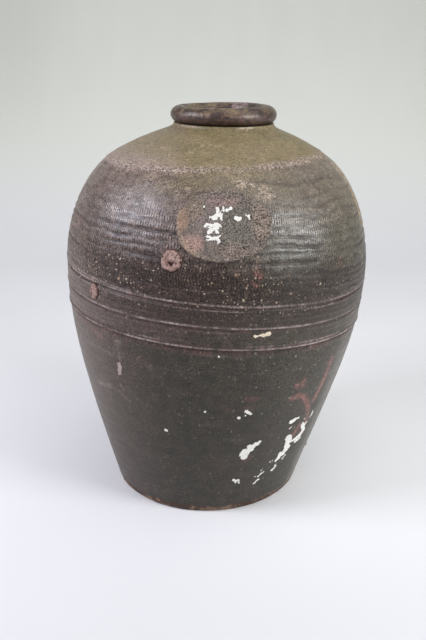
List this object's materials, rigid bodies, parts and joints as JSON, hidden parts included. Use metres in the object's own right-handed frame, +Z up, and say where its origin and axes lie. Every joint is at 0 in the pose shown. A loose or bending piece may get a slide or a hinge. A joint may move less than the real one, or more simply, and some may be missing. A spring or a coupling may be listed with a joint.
{
  "type": "pottery jar",
  "caption": "Tall shouldered stoneware storage jar with a small flat foot, a full belly with cut lines, an oval pad on the front and a thick rolled rim round a narrow open mouth.",
  "frame": {"origin": "centre of the flat foot, on the surface that the jar stands on", "axes": "+Z up from the foot to the mouth; -Y is the front with the oval pad; +X is the side that the jar leans to"},
  "size_m": [0.3661, 0.3654, 0.473],
  "materials": {
    "bare_foot_clay": "bare fired stoneware, matt",
    "lower_glaze": "thin dark olive-brown ash glaze, satin",
    "band_glaze": "dark brown glaze over cut lines, satin",
    "belly_glaze": "dark purple-brown glaze over paddle marks, satin",
    "olive_ash_glaze": "khaki ash glaze, soft satin",
    "neck_glaze": "khaki ash glaze, soft satin",
    "rim_glaze": "dark purple-brown glaze, glossy",
    "pad_clay": "rough pitted brown clay, matt",
    "kiln_clay": "bare pink kiln clay, matt",
    "lump_glaze": "dark glaze over a clay lump, satin"
  },
  "bodies": {
    "root": {"base_slab": "bare_foot_clay", "lower_wall": "lower_glaze", "belly_band": "band_glaze", "belly_wall": "belly_glaze", "shoulder_cap": "olive_ash_glaze", "neck_collar": "neck_glaze", "rolled_rim": "rim_glaze", "shoulder_pad": "pad_clay", "upper_kiln_wad": "kiln_clay", "side_kiln_wad": "kiln_clay", "foot_clay_lump": "lump_glaze"}
  },
  "joints": []
}
